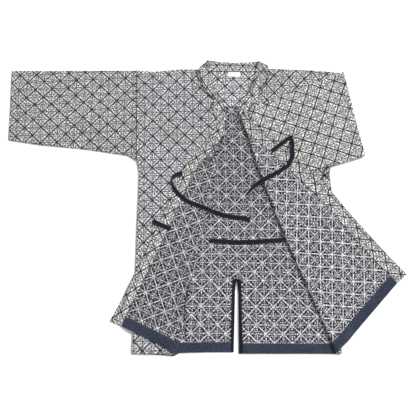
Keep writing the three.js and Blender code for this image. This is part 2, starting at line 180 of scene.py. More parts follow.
# Creases: from, to, height (a trough is negative) and half width.
CREASES = table("x1 y1 x2 y2 high wide",
    (-54, 146, -84, 110, -3.2, 4), (-44, 158, -70, 122, 2.2, 8), (-36, 196, -52, 160, -2.4, 5),
    (-60, 128, -120, 60, 1.8, 14), (-92, 120, -126, 96, -2.0, 6),
    (254, 110, 240, 88, -4.0, 4), (242, 88, 236, 66, -4.0, 3.5), (242, 88, 258, 74, -3.4, 3.5),
    (262, 122, 249, 94, 2.4, 8), (228, 96, 214, 66, 1.8, 8),
    (-118, 398, -108, 356, -3.6, 4.5), (-106, 360, -86, 322, -2.6, 4), (-84, 326, -64, 304, -3.0, 5),
    (-64, 300, -78, 276, -3.0, 5), (-50, 296, -72, 240, 2.0, 6), (-98, 392, -92, 350, 2.6, 7),
    (-74, 352, -58, 318, -2.0, 4), (-88, 425, -84, 400, -2.4, 5), (-66, 420, -98, 404, -2.0, 5),
    (60, 428, 56, 398, -3.4, 4), (74, 408, 92, 376, -3.2, 5), (66, 396, 80, 366, 2.6, 7),
    (90, 372, 62, 318, -2.6, 4), (56, 378, 34, 326, -2.4, 4), (50, 300, 30, 262, -2.8, 5),
    (30, 262, 48, 240, -3.4, 4), (74, 344, 44, 300, 2.2, 7), (60, 262, 96, 232, -1.6, 7),
    (-118, -215, -122, -372, 3.2, 8), (-134, -215, -139, -372, -2.0, 7), (-150, -240, -170, -360, -1.6, 9),
    (150, -30, 232, -100, 1.8, 16), (196, 20, 330, -90, 1.6, 20), (250, -150, 330, -214, 1.4, 18),
    (-150, -60, -205, -170, 1.6, 18), (-142, -200, -214, -290, 1.4, 18),
    (-300, 380, -292, 150, 1.6, 8), (-420, 360, -600, 330, 1.4, 26), (-360, 200, -620, 215, 1.4, 24),
    (-290, 160, -240, 90, 1.6, 14), (120, 280, 250, 330, 1.4, 22), (160, 180, 300, 220, 1.4, 22),
    (-40, 60, 40, -60, 1.2, 26), (60, -180, 150, -330, 1.2, 26), (-60, -180, -90, -330, 1.2, 20),
    (-126, -215, -131, -372, -3.0, 3.2))
TIGHT = [c for c in CREASES if c["high"] < -2.3 and c["wide"] <= 5]


def creased(x, y, rows, sharp=1.0):
    """Sum of the creases at a place, each fading at its ends."""
    w = 0.0
    for c in rows:
        dx, dy = c["x2"] - c["x1"], c["y2"] - c["y1"]
        n = math.hypot(dx, dy)
        t = ((x - c["x1"]) * dx + (y - c["y1"]) * dy) / n
        if -c["wide"] * 3 < t < n + c["wide"] * 3:
            bend = 0.06 * n * math.sin(math.pi * clamp(t / n))
            off = ((x - c["x1"]) * dy - (y - c["y1"]) * dx) / n - bend
            if abs(off) < 3 * c["wide"]:
                fade = ease(t / n * 4 + 0.3) * ease((n - t) / n * 3 + 0.3)
                w += c["high"] * fade * math.exp(-((off / c["wide"] / sharp) ** 2))
    return w


def swell(x, y):
    """How much the laid cloth stands above its flat stack, in long low waves and creases."""
    w = 1.5 + 0.45 * math.sin(x / 41 + y / 67) + 0.4 * math.sin(y / 29 - x / 83) + 0.25 * math.sin(x / 19 + 1)
    return max(0.0, w + creased(x, y, CREASES))


def crease_shadow(x, y):
    """Painted shade at the bottom of a tight crease: how much the colour there is darkened."""
    return clamp(-creased(x, y, TIGHT, 0.7) / 3)


def rise(rows, x):
    for a, b in zip(rows, rows[1:]):
        if x <= b["x"]:
            break
    return mix(a["rise"], b["rise"], clamp((x - a["x"]) / (b["x"] - a["x"])))


def edges_up(x, y):
    """The shoulder edge and the hem stand in and out a little, fading over 70 mm."""
    up = rise(CROWN, x) * ease((y - SHOULDER + 70) / 70) if -294 < x < 283 else 0.0
    return up + (rise(HEMLINE, x) * ease((HEM + 70 - y) / 70) if abs(x) < 300 else 0.0)


def settle(x, y, z):
    """The viewer's right fold bows to the middle, and upper cloth swells off what is below."""
    bow = math.sin(math.pi * clamp((277 - y) / 645)) * ease((x - 5) / 60) * ease((270 - x) / 120)
    return x - 11 * bow, y + edges_up(x, y), z + swell(x, y) * ease(z / 5)


def cut(cells, nx, ny, marks):
    """Splits cells along the lines n.x = mark; near corners count as on the line."""
    done, rest = [], cells
    for c in sorted(marks):
        up = []
        for cell in rest:
            d = [p[0] * nx + p[1] * ny - c for p in cell]
            d = [0 if abs(v) < 0.2 else v for v in d]
            if max(d) <= 0:
                done.append(cell)
            elif min(d) >= 0:
                up.append(cell)
            else:
                high, low = [], []
                for i, p in enumerate(cell):
                    q, e = cell[(i + 1) % len(cell)], d[(i + 1) % len(cell)]
                    if d[i] >= 0:
                        high.append(p)
                    if d[i] <= 0:
                        low.append(p)
                    if d[i] * e < 0:
                        (a, u), (b, v) = sorted(((p, d[i]), (q, e)))
                        x = (mix(a[0], b[0], u / (u - v)), mix(a[1], b[1], u / (u - v)))
                        high.append(x)
                        low.append(x)
                if len(low) > 2:
                    done.append(low)
                if len(high) > 2:
                    up.append(high)
        rest = up
    return done + rest


def grid(cells, step=FINE):
    """Cells cut into a fine upright grid."""
    for nx, ny in ((0, -1), (1, 0)):
        v = [p[0] * nx + p[1] * ny for cell in cells for p in cell]
        lines = [min(v) + step * k for k in range(1, int((max(v) - min(v)) / step) + 1)]
        cells = cut(cells, nx, ny, lines)
    return cells


def fold_grid(cells, fold):
    """A fine grid along a fold, closer on the roll."""
    roll = [0, 0.9, 1.8, 2.7, 3.6, 4.5, 5.4, 6.3, 7.3, 8.3, 9.4, 10.6, 12, 14]
    v = [fold.s(*p) for cell in cells for p in cell]
    before = [-FINE * k for k in range(1, int(-min(v) / FINE) + 1)]
    after = [14 + FINE * k for k in range(1, int((max(v) - 14) / FINE) + 1)] if max(v) > 14 else []
    cells = cut(cells, *fold.m, [fold.c + s for s in before + roll + after])
    w = [p[0] * fold.d[0] + p[1] * fold.d[1] for cell in cells for p in cell]
    return cut(cells, *fold.d, [min(w) + FINE * k for k in range(1, int((max(w) - min(w)) / FINE) + 1)])


def strip(rows, p, q):
    """Cells from one edge to the other, row by row."""
    return [[p(a), q(a), q(b), p(b)] for a, b in zip(rows, rows[1:])]


def centre(cell):
    return sum(p[0] for p in cell) / len(cell), sum(p[1] for p in cell) / len(cell)


def finish_mesh(name, points, faces, kinds, uvs, slots, edge=None, rim=None):
    """A mesh object in metres with a cut map, a material per kind of face, and sharp rims."""
    me = bpy.data.meshes.new(name)
    me.from_pydata([[v / 1000 for v in settle(*p)] for p in points], [], faces)
    me.polygons.foreach_set("material_index", kinds)
    me.polygons.foreach_set("use_smooth", [True] * len(faces))
    layer = me.uv_layers.new(name="cut")
    layer.data.foreach_set("uv", [c for f in faces for v in f for c in uvs[v]])
    # Painted shade: how much each point's colour is darkened in the tight creases.
    dark = [crease_shadow(p[0], p[1]) for p in points]
    for key, values in (("edge", edge), ("rim", rim), ("crease", dark)):
        a = me.attributes.new(key, "FLOAT", "POINT")
        a.data.foreach_set("value", values if values is not None else [99.0] * len(points))
    o = bpy.data.objects.new(name, me)
    bpy.context.scene.collection.objects.link(o)
    for m in slots:
        me.materials.append(m)
    sharp = set()
    for f, k in zip(faces, kinds):
        if k == 2:
            sharp.update(tuple(sorted((f[i], f[(i + 1) % len(f)]))) for i in range(len(f)))
    flags = [tuple(sorted(e.vertices)) in sharp for e in me.edges]
    a = me.attributes.get("sharp_edge") or me.attributes.new("sharp_edge", "BOOLEAN", "EDGE")
    a.data.foreach_set("value", flags)
    me.validate()
    me.update()
    return o


def shell(name, cells, place, depth, slots, turns=False, edge=None, rim=None, settled=False):
    """Cloth between two depths; slots are the outer face's, the inner face's and the border's material.

    A settled panel has its pattern laid on after settling, so the bow does not bend it.
    """
    index, corners, polys = {}, [], []
    for cell in cells:
        ids = []
        for p in cell:
            key = (round(p[0] * 500), round(p[1] * 500))
            if key not in index:
                index[key] = len(corners)
                corners.append(p)
            ids.append(index[key])
        ids = [v for i, v in enumerate(ids) if v != ids[(i + 1) % len(ids)]]
        if len(ids) < 3:
            continue
        area = sum(corners[a][0] * corners[b][1] - corners[b][0] * corners[a][1]
                   for a, b in zip(ids, ids[1:] + ids[:1]))
        polys.append(ids if area > 0 else ids[::-1])
    n = len(corners)
    first = [place(x, y, depth[0]) for x, y in corners]
    second = [place(x, y, depth[1]) for x, y in corners]
    faces, kinds = [], []

    def add(f, kind):
        faces.append(f if turns else f[::-1])
        kinds.append(kind)

    edges = {(a, b) for f in polys for a, b in zip(f, f[1:] + f[:1])}
    for f in polys:
        add(f, 0)
        add([v + n for v in f[::-1]], 1)
    for a, b in edges:
        if (b, a) not in edges:
            add([a, a + n, b + n, b], 2)
    uvs = [settle(x, y, 0)[:2] if settled else (x, y) for x, y in corners] * 2
    uvs = [(x / 1000, y / 1000) for x, y in uvs]
    near = [[f(x, y) for x, y in corners] * 2 if f else None for f in (edge, rim)]
    return finish_mesh(name, first + second, faces, kinds, uvs, slots, *near)


def tube(name, sections, place, slots):
    """A flattened sleeve, open at both ends, from rows that each go from its top to its underarm seam."""
    cuts = [k / 40 for k in range(41)]

    def loop(r, half):
        (ax, ay), (bx, by) = r
        n = math.hypot(bx - ax, by - ay)
        dx, dy, span = (bx - ax) / n, (by - ay) / n, n - SLEEVE
        pts = [(SLEEVE / 2 + c * span, -half) for c in cuts]
        turn = [math.radians(k) for k in (22, 45, 67, 90, 113, 135, 158)]
        pts += [(SLEEVE / 2 + span + half * math.sin(k), -half * math.cos(k)) for k in turn]
        pts += [(SLEEVE / 2 + c * span, half) for c in reversed(cuts)]
        pts += [(SLEEVE / 2 - half * math.sin(k), half * math.cos(k)) for k in turn]
        return [(ax + dx * s, ay + dy * s, SLEEVE / 2 + h) for s, h in pts]

    rings = [loop(r, SLEEVE / 2) for r in sections] + [loop(r, LAY / 2) for r in sections]
    n, m = len(rings[0]), len(sections)
    faces, kinds = [], []

    def add(a, b, c, d, kind):
        faces.append([a, d, c, b])
        kinds.append(kind)

    for j in range(n):
        k = (j + 1) % n
        for i in range(m - 1):
            add(i * n + j, (i + 1) * n + j, (i + 1) * n + k, i * n + k, 0)
            a = m + i
            add(a * n + j, a * n + k, (a + 1) * n + k, (a + 1) * n + j, 1)
        add(j, k, m * n + k, m * n + j, 2)
        a, b = (m - 1) * n, (2 * m - 1) * n
        add(a + j, b + j, b + k, a + k, 2)
    flatpts = [p for ring in rings for p in ring]
    points = [place(*p) for p in flatpts]

    def past(p, row):
        (ax, ay), (bx, by) = row
        return abs(p[0] - mix(ax, bx, clamp((ay - p[1]) / (ay - by))))

    near = [[past(p, row) for p in flatpts] for row in (sections[0], sections[-1])]
    uvs = [(p[0] / 1000, p[1] / 1000) for p in flatpts]
    return finish_mesh(name, points, faces, kinds, uvs, slots, *near)


def rows_between(rows, step=FINE):
    """More rows between those of a short table, about a step apart."""
    out = []
    for a, b in zip(rows, rows[1:]):
        gap = max(math.hypot(b[k][0] - a[k][0], b[k][1] - a[k][1]) for k in (0, 1))
        n = max(1, round(gap / step))
        out += [tuple(tuple(mix(a[k][i], b[k][i], j / n) for i in (0, 1)) for k in (0, 1)) for j in range(n)]
    return out + [rows[-1]]


class Nodes:
    """Small helper that writes a material's node tree as sums."""

    def __init__(self, name):
        self.mat = bpy.data.materials.new(name)
        self.mat.use_nodes = True
        self.tree = self.mat.node_tree
        self.tree.nodes.clear()

    def put(self, kind, **values):
        n = self.tree.nodes.new(kind)
        for key, v in values.items():
            setattr(n, key, v)
        return n

    def feed(self, socket, value):
        if isinstance(value, bpy.types.NodeSocket):
            self.tree.links.new(value, socket)
        else:
            socket.default_value = value

    def do(self, op, *args):
        n = self.put("ShaderNodeMath", operation=op)
        for i, v in enumerate(args):
            self.feed(n.inputs[i], v)
        return n.outputs[0]

    def add(self, a, b):
        return self.do("ADD", a, b)

    def sub(self, a, b):
        return self.do("SUBTRACT", a, b)

    def mul(self, a, b):
        return self.do("MULTIPLY", a, b)

    def most(self, a, b):
        return self.do("MAXIMUM", a, b)

    def off(self, v, every=1.0):
        """Distance to the nearest multiple."""
        return self.do("PINGPONG", self.do("ABSOLUTE", v), every / 2)

    def length(self, a, b):
        return self.do("SQRT", self.add(self.mul(a, a), self.mul(b, b)))

    def fade(self, v, start, end, low=0.0, high=1.0):
        n = self.put("ShaderNodeMapRange", interpolation_type="SMOOTHSTEP")
        for i, x in enumerate((v, start, end, low, high)):
            self.feed(n.inputs[i], x)
        return n.outputs[0]

    def mix(self, t, a, b):
        n = self.put("ShaderNodeMix", data_type="RGBA")
        self.feed(n.inputs[0], t)
        self.feed(n.inputs[6], a)
        self.feed(n.inputs[7], b)
        return n.outputs[2]

    def mix_value(self, t, a, b):
        return self.add(self.mul(a, self.sub(1.0, t)), self.mul(b, t))

    def noise(self, where, scale, detail=2.0, rough=0.5):
        n = self.put("ShaderNodeTexNoise")
        self.feed(n.inputs["Vector"], where)
        self.feed(n.inputs["Scale"], scale)
        self.feed(n.inputs["Detail"], detail)
        self.feed(n.inputs["Roughness"], rough)
        return n.outputs["Fac"]

    def cut_map(self):
        """The flat cut's coordinates in millimetres, and the same as a vector in metres."""
        uv = self.put("ShaderNodeUVMap", uv_map="cut")
        xyz = self.put("ShaderNodeSeparateXYZ")
        self.feed(xyz.inputs[0], uv.outputs[0])
        return self.mul(xyz.outputs[0], 1000.0), self.mul(xyz.outputs[1], 1000.0), uv.outputs[0]

    def surface(self, colour, rough, height, distance, sheen):
        bump = self.put("ShaderNodeBump")
        self.feed(bump.inputs["Strength"], 1.0)
        self.feed(bump.inputs["Distance"], distance)
        self.feed(bump.inputs["Height"], height)
        b = self.put("ShaderNodeBsdfPrincipled")
        self.feed(b.inputs["Base Color"], colour)
        self.feed(b.inputs["Roughness"], rough)
        self.feed(b.inputs["Specular IOR Level"], 0.15)
        self.feed(b.inputs["Sheen Weight"], sheen)
        self.feed(b.inputs["Sheen Roughness"], 0.5)
        self.feed(b.inputs["Normal"], bump.outputs[0])
        out = self.put("ShaderNodeOutputMaterial")
        self.feed(out.inputs[0], b.outputs[0])
        return self.mat


def srgb(*v):
    return tuple((c / 255 / 12.92) if c < 11 else ((c / 255 + 0.055) / 1.055) ** 2.4 for c in v) + (1.0,)


# The two faces of the quilted cloth: light and dark yarn, half width and strength of the lattice lines,
# strength of the cross lines, small dots and specks, how patchy the dots are, and how grainy the ground is.
OUTSIDE = {"light": (215, 214, 213), "dark": (6, 6, 6), "wide": 0.032, "line": 0.85, "cross": 0.5,
    "dot": 0.95, "speck": 0.62, "patchy": 0.5, "grain": 0.95}
INSIDE = {"light": (246, 244, 246), "dark": (26, 25, 26), "wide": 0.02, "line": 0.9, "cross": 0.7,
    "dot": 0.7, "speck": 0.3, "patchy": 0.35, "grain": 0.9}


def quilt(name, x0, y0, hx, hy, shear=0.0, lean=0.0, fan=0.0, inside=False, dim=1.0, cool=5, slope=0.0,
          stitch=0.0):
    """Diamond lattice with dotted cross lines, dark on light or light on dark.

    It has a node at x0, y0 and half pitches hx, hy. Shear and lean turn its upright and level rows,
    and fan turns the upright rows back on one side below that node. Dim and cool set its tone,
    slope lightens it to the hem, and stitch is how far a seam runs from the second edge.
    """
    look = INSIDE if inside else OUTSIDE
    k = Nodes(name)
    x, y, where = k.cut_map()
    wob = k.mul(k.sub(k.noise(where, 14.0, 1.0), 0.5), 2.4)
    row, side = k.sub(y, y0), k.sub(x, x0)
    turn = shear
    if fan:
        turn = k.add(shear, k.mul(k.fade(x, -25.0, 10.0, fan, 0.0), k.fade(row, -20.0, 0.0, 1.0, 0.0)))
    u = k.mul(k.add(k.sub(side, k.mul(row, turn)), wob), 1 / hx)
    v = k.mul(k.add(k.sub(row, k.mul(side, lean)), wob), 1 / hy)
    fine = k.noise(where, 900.0, 2.0)
    line = k.do("MINIMUM", k.off(k.mul(k.add(u, v), 0.5)), k.off(k.mul(k.sub(u, v), 0.5)))
    lines = k.fade(line, look["wide"], look["wide"] + 0.022, 1.0, 0.0)
    lines = k.mul(lines, k.add(look["line"], k.mul(fine, 0.4)))
    u4, v4 = k.mul(u, 4.0), k.mul(v, 4.0)
    across = k.length(k.off(k.add(u4, 0.5)), k.mul(k.off(v, 1.0), 4.0))
    down = k.length(k.mul(k.off(u, 1.0), 4.0), k.off(v4))
    field = k.length(k.off(k.mul(k.add(u4, v4), 0.5)), k.off(k.mul(k.sub(u4, v4), 0.5)))
    axis = k.most(k.fade(across, 0.22, 0.4, 1.0, 0.0), k.fade(down, 0.22, 0.4, 1.0, 0.0))
    small = k.mul(k.fade(field, 0.2, 0.38, 1.0, 0.0), look["dot"])
    cross = k.mul(k.fade(k.do("MINIMUM", k.off(u), k.off(v)), 0.02, 0.07, 1.0, 0.0), look["cross"])
    mottle = k.fade(k.noise(where, 270.0, 1.0, 0.6), 0.42, 0.58)
    broad = k.noise(where, 6.0, 3.0)
    dots = k.mul(k.most(k.most(axis, cross), small), k.add(0.5, k.mul(mottle, look["patchy"])))
    speck = k.mul(k.fade(k.noise(where, 230.0, 0.0), 0.52, 0.6), look["speck"])
    mark = k.most(lines, k.most(dots, speck))
    light, dark = (srgb(r, g, b + cool) for r, g, b in (look["light"], look["dark"]))
    base = k.mix(mark, dark, light) if inside else k.mix(mark, light, dark)
    tone = k.add(k.add(k.mul(fine, 0.3), k.mul(broad, 0.2)), k.mul(mottle, look["grain"]))
    tone = k.mul(k.add(tone, 0.12), dim)
    if slope:
        tone = k.mul(tone, k.fade(y, -380.0, 150.0, 1 + slope, 1 - slope))
    # Darker dashes near the seams and edges: stitches at the seams, with painted shade along the seams and
    # along a band's free edge.
    near = k.put("ShaderNodeAttribute", attribute_name="edge").outputs["Fac"]
    rim = k.put("ShaderNodeAttribute", attribute_name="rim").outputs["Fac"]
    near = k.do("MINIMUM", near, k.do("MINIMUM", rim, k.do("ABSOLUTE", k.sub(rim, stitch))))
    dash = k.fade(k.off(k.add(x, y), 5.8), 0.9, 1.9, 0.25, 0.8)
    tone = k.mul(tone, k.mix_value(k.fade(near, 0.8, 2.4), dash, 1.0))
    # Painted shade: the colour is darkened along the tight creases, where their shadow falls.
    crease = k.put("ShaderNodeAttribute", attribute_name="crease").outputs["Fac"]
    tone = k.mul(tone, k.sub(1.0, k.mul(crease, 0.85)))
    shade = k.put("ShaderNodeMix", data_type="RGBA", blend_type="MULTIPLY")
    k.feed(shade.inputs[0], 1.0)
    k.feed(shade.inputs[6], base)
    grey = k.put("ShaderNodeCombineColor")
    for i in range(3):
        k.feed(grey.inputs[i], tone)
    k.feed(shade.inputs[7], grey.outputs[0])
    weave = k.mul(k.add(k.do("SINE", k.mul(x, 4.2)), k.do("SINE", k.mul(y, 4.2))), 0.12)
    height = k.add(k.add(k.mul(mark, 0.8), weave), k.mul(mottle, 0.5))
    return k.surface(shade.outputs[2], 0.92, height, 0.0006, 0.15)


def twill(name, low, high, angle=1.0):
    """Plain dark twill with a fine diagonal rib."""
    k = Nodes(name)
    x, y, where = k.cut_map()
    rib = k.do("SINE", k.mul(k.add(x, k.mul(y, angle)), 4.0))
    fine, broad = k.noise(where, 1100.0, 2.0), k.noise(where, 30.0, 3.0)
    slub = k.fade(k.noise(where, 240.0, 1.0), 0.4, 0.6)
    t = k.add(k.add(k.mul(fine, 0.2), k.mul(slub, 0.3)), k.add(k.mul(broad, 0.45), k.mul(rib, 0.08)))
    colour = k.mix(t, low, high)
    near = k.put("ShaderNodeAttribute", attribute_name="edge")
    stitch = k.fade(k.do("ABSOLUTE", k.sub(near.outputs["Fac"], 2.6)), 0.3, 0.7, 1.0, 0.0)
    stitch = k.mul(stitch, k.fade(k.off(k.add(x, y), 3.4), 0.5, 0.8, 1.0, 0.0))
    colour = k.mix(k.mul(stitch, 0.35), colour, srgb(100, 108, 128))
    return k.surface(colour, 0.88, k.add(k.mul(rib, 0.25), k.mul(fine, 0.6)), 0.0003, 0.25)


# Where each panel's lattice has a node, its half pitches, shear and lean.
OUT_R = quilt("quilt_out_right", -238.7, 193.2, 22.8, 23.4, -0.031, 0.055)
IN_R = quilt("quilt_in_right", -93.3, -174.6, 22.7, 23.2, -0.044, 0.058, inside=True, dim=0.7)
OUT_L = quilt("quilt_out_left", 150.5, 373.1, 22.1, 23.6, -0.022, -0.073)
IN_L = quilt("quilt_in_left", 81.6, -158.4, 21.7, 22.0, -0.056, -0.108, inside=True, dim=0.89)
OUT_B = quilt("quilt_out_back", -0.5, -139.8, 22.7, 23.1, 0.03)
IN_B = quilt("quilt_in_back", -0.5, -139.8, 22.7, 23.1, -0.036, fan=0.065, inside=True, dim=0.76, slope=0.11)
YOKE = quilt("quilt_yoke", -58.8, 326.5, 22.5, 23.2, 0.065, 0.014, dim=1.17)
OUT_SR = quilt("quilt_sleeve_right", -486.8, 290.2, 23.5, 23.4, -0.02, 0.064, dim=0.95, cool=0)
OUT_SL = quilt("quilt_sleeve_left", 412.1, 302.2, 23.0, 23.6, 0.074, -0.101, dim=1.14, cool=0)
IN_S = quilt("quilt_in_sleeve", -465.3, 267.8, 23.6, 22.5, inside=True, cool=0)
BAND_MAT = quilt("quilt_band", -60, 250, 19.0, 23.4, 0.12, dim=1.16, cool=0, stitch=9.0)
NAVY = twill("navy_twill", srgb(8, 14, 29), srgb(66, 74, 93))
BINDING = twill("navy_binding", srgb(0, 2, 10), srgb(14, 19, 34))
TAPE_MAT = twill("navy_tape", srgb(0, 1, 11), srgb(14, 21, 38), 0.2)


def make_label():
    k = Nodes("white_label_weave")
    x, y, where = k.cut_map()
    fine = k.noise(where, 900.0, 2.0)
    colour = k.mix(fine, srgb(226, 226, 226), srgb(255, 255, 255))
    near = k.put("ShaderNodeAttribute", attribute_name="edge")
    stitch = k.fade(k.do("ABSOLUTE", k.sub(near.outputs["Fac"], 1.4)), 0.25, 0.5, 1.0, 0.0)
    colour = k.mix(k.mul(stitch, 0.3), colour, srgb(170, 170, 176))
    rib = k.do("SINE", k.mul(y, 9.0))
    return k.surface(colour, 0.6, k.add(k.mul(rib, 0.4), fine), 0.0002, 0.1)


LABEL = make_label()


def dress(piece, node):
    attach(piece, "root")
    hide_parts(node)


def flat_area(cells):
    total = 0
    for c in cells:
        total += abs(sum(a[0] * b[1] - b[0] * a[1] for a, b in zip(c, c[1:] + c[:1]))) / 2
    return total


def size_of(cells):
    xs, ys = [p[0] for c in cells for p in c], [p[1] for c in cells for p in c]
    return max(xs) - min(xs), max(ys) - min(ys)


def fit(piece, node, cells, wide=None):
    """Attaches a piece and hides its part; the cut's size is worked out but not used, a narrow curved strip
    being as long as its area over its width.
    """
    area = flat_area(cells)
    w, h = (wide, area / wide) if wide else size_of(cells)
    dress(piece, node)


# Back, with its open slit; each side is two straight stretches, x = base + slope y.
SLIT_LEFT, SLIT_RIGHT = ((18.8, 0.1), (-0.34, 0.0209)), ((-27.5, -0.127), (1.03, -0.0098))


def in_slit(cell):
    x, y = centre(cell)
    left, right = (([base + slope * y for base, slope in side]) for side in (SLIT_LEFT, SLIT_RIGHT))
    return y < SLIT_TOP and max(left) < x < min(right)


SLIT_CUTS = [(0, 1, [SLIT_TOP])] + [(1, -slope, [base]) for base, slope in SLIT_LEFT + SLIT_RIGHT]


def slit_open(cells):
    for nx, ny, marks in SLIT_CUTS:
        cells = cut(cells, nx, ny, marks)
    return [c for c in cells if not in_slit(c)]


body_rows = [{"y": r["y"], "a": r["side"], "b": at(LEFT, r["y"], "side")} for r in RIGHT]
back_cells = strip(body_rows, lambda r: (r["a"], r["y"]), lambda r: (r["b"], r["y"]))
back_cells = slit_open(grid(back_cells))
back = shell("back_cloth", back_cells, flat(0), (0, CLOTH), [OUT_B, IN_B, IN_B],
    edge=lambda x, y: 1 + x - at(RIGHT, y, "side"), rim=lambda x, y: 1 + at(LEFT, y, "side") - x,
    settled=True)
fit(back, "back", back_cells)

yoke_rows = [{"y": y} for y in (394, YOKE_END)]
yoke_cells = grid(strip(yoke_rows, lambda r: (-YOKE_SIDE, r["y"]), lambda r: (YOKE_SIDE, r["y"])))
yoke = shell("yoke_cloth", yoke_cells, flat(CLOTH + SEAM), (0, FACING), [YOKE, YOKE, YOKE],
    edge=lambda x, y: 1 + y - YOKE_END)
fit(yoke, "yoke_lining", yoke_cells)


# Fronts with their collar bands and hem facings.
def finer(rows):
    out = [rows[0]]
    for a, b in zip(rows, rows[1:]):
        n = math.ceil((a["y"] - b["y"]) / 30)
        out += [{key: mix(a[key], b[key], (k + 1) / n) for key in a} for k in range(n)]
    return out


def hemmed(up, key, gap=0.0):
    return lambda r: (r[key] + gap, r["y"] + up * clamp((-250 - r["y"]) / 150))


FRONTS = ((("front_right", "collar_right", "hem_facing_front_right"), RIGHT, -1, RISE["right"],
           place_r, FOLD_R, (OUT_R, IN_R)),
          (("front_left", "collar_left", "hem_facing_front_left"), LEFT, 1, RISE["left"],
           place_l, FOLD_L, (OUT_L, IN_L)))
for (front, collar, facing), rows, sign, up, place, fold, (outer, inner) in FRONTS:
    fine, last = finer(rows), rows[-1]
    fall = up / (last["seam"] - last["side"])
    top = HEM + HEM_DEEP - fall * last["side"]
    cells = fold_grid(strip(fine, hemmed(0, "side"), hemmed(up, "seam")), fold)
    cells = cut(cells, -fall, 1, [top])

    def to(key, rows=rows):
        return lambda x, y: abs(at(rows, y, key) - x)

    o = shell(front + "_cloth", cells, place, (0, CLOTH), [outer, inner, inner], True, to("seam"), to("side"))
    fit(o, front, cells)
    low = [c for c in cells if centre(c)[1] < top + fall * centre(c)[0]]
    o = shell(facing + "_cloth", low, place, (CLOTH + SEAM, CLOTH + SEAM + FACING), [NAVY, NAVY, NAVY], True,
        lambda x, y, top=top, fall=fall: top + fall * x - y)
    fit(o, facing, low, wide=HEM_DEEP)
    band = fold_grid(strip(fine, hemmed(up, "seam", -sign * SEAM), hemmed(up, "free")), fold)
    o = shell(collar + "_cloth", band, place, (-0.4, BAND - 0.4), [BAND_MAT, BAND_MAT, BAND_MAT], True,
        to("seam"), to("free"))
    fit(o, collar, band, wide=37)

NECK = table("x top", (-110, 401), (-101, 414), (-88, 431), (-72, 429), (-53, 426), (-6, 424), (40, 426),
    (63, 429), (78, 419), (91, 408))


def neck_base(x, y):
    """The ends of the back's collar lie up on the fronts."""
    return 3 * (1 - ease((y - SHOULDER) / 26)) * max(ease((-64 - x) / 14), ease((x - 44) / 14))


LOW = SHOULDER + SEAM
neck_cells = [[(a["x"], LOW), (b["x"], LOW), (b["x"], b["top"]), (a["x"], a["top"])]
              for a, b in zip(NECK, NECK[1:])]
neck_cells = grid(neck_cells, step=3.5)
neck = shell("collar_back_cloth", neck_cells, lambda x, y, n: (x, y, neck_base(x, y) + n), (0, BAND),
    [BAND_MAT, BAND_MAT, BAND_MAT], edge=lambda x, y: 0.4 + y - LOW, rim=lambda x, y: 426 - y)
fit(neck, "collar_back", neck_cells)

bind_rows = table("y a b", (-206.5, -8, 7), (-210, -11.5, 10.5), (-216, -12.3, 11.5), (-306, -14.6, 13.1),
    (HEM, -16, 15.6))
for node, a, b in (("hem_facing_back_right", -270, -16.3), ("hem_facing_back_left", 15.9, 268.5)):
    rows = [{"y": HEM + HEM_DEEP}, {"y": HEM}]
    cells = grid(strip(rows, lambda r: (a, r["y"]), lambda r: (b, r["y"])))
    o = shell(node + "_cloth", cells, flat(CLOTH + SEAM), (0, FACING), [NAVY, NAVY, NAVY],
        edge=lambda x, y: HEM + HEM_DEEP - y)
    fit(o, node, cells)
bind_cells = slit_open(grid(strip(bind_rows, lambda r: (r["a"], r["y"]), lambda r: (r["b"], r["y"]))))
o = shell("slit_binding_cloth", bind_cells, flat(CLOTH + SEAM), (0, FACING), [BINDING, BINDING, BINDING],
    edge=lambda x, y: min(x - at(bind_rows, y, "a"), at(bind_rows, y, "b") - x))
fit(o, "slit_binding", bind_cells, wide=20)

# Sleeves: rows go from the shoulder fold to the underarm seam.
SLEEVE_R = [((-294.3, 395.5), (-282.3, 121)), ((-318, 395), (-307, 136)), ((-380, 394), (-372, 145)),
    ((-443, 393), (-441, 154)), ((-550, 391.5), (-545, 163)), ((-655, 390), (-645, 177))]


def along(s):
    """A row of the left sleeve that runs beside its fold, s past it."""
    x, y = FOLD_S.a[0] + FOLD_S.m[0] * s, FOLD_S.a[1] + FOLD_S.m[1] * s
    lean = FOLD_S.d[0] / FOLD_S.d[1]
    x1, low = x - (y - 395.5) * lean, 141.5 + 0.05 * s
    return (x1, 395.5), (x1 + lean * (low - 395.5), low)


SLEEVE_L = [((294.3, 395.5), (282.3, 121)), ((298.5, 395.5), (307, 137)),
    *[along(s) for s in (-2, 0, 1.6, 3.2, 4.8, 6.4, 8, 9.6, 11.4, 14, 22, 34)],
    ((395, 394), (420, 145.5)), ((450, 393), (465, 150)), ((510, 392), (520, 155.5)),
    ((570, 391.2), (570, 161)), ((CUFF_L, 390.5), (CUFF_L - 8, 168))]
for node, rows, place, outer in (("sleeve_right", SLEEVE_R, flat(0), OUT_SR),
                                 ("sleeve_left", SLEEVE_L, place_s, OUT_SL)):
    o = tube(node + "_cloth", rows_between(rows), place, [outer, IN_S, IN_S])
    deep = 2 * max(r[0][1] - r[1][1] for r in rows)
    area = sum((a[0][1] - a[1][1] + b[0][1] - b[1][1]) * abs(a[0][0] + a[1][0] - b[0][0] - b[1][0]) / 2
               for a, b in zip(rows, rows[1:]))
    dress(o, node)


def over_r(x, y):
    return mix(flap_r(x, y) + 2, CLOTH, ease((FOLD_R.s(x, y) - 6) / 22))


def over_l(x, y):
    """Top of what is below a tie at the viewer's right: flap, folded sleeve or the inside of the back."""
    s = max(0.0, -FOLD_L.s(x, y)) + 11
    u, v = x + (2 * s - 11) * FOLD_L.m[0], y + (2 * s - 11) * FOLD_L.m[1]
    off = at(LEFT, v, "free") - u
    flap = mix(flap_l(x, y) + 2, sleeve_base(x, y) + SLEEVE, ease((off - 6) / 16))
    return mix(flap, CLOTH, ease((FOLD_L.s(x, y) - 7) / 24))


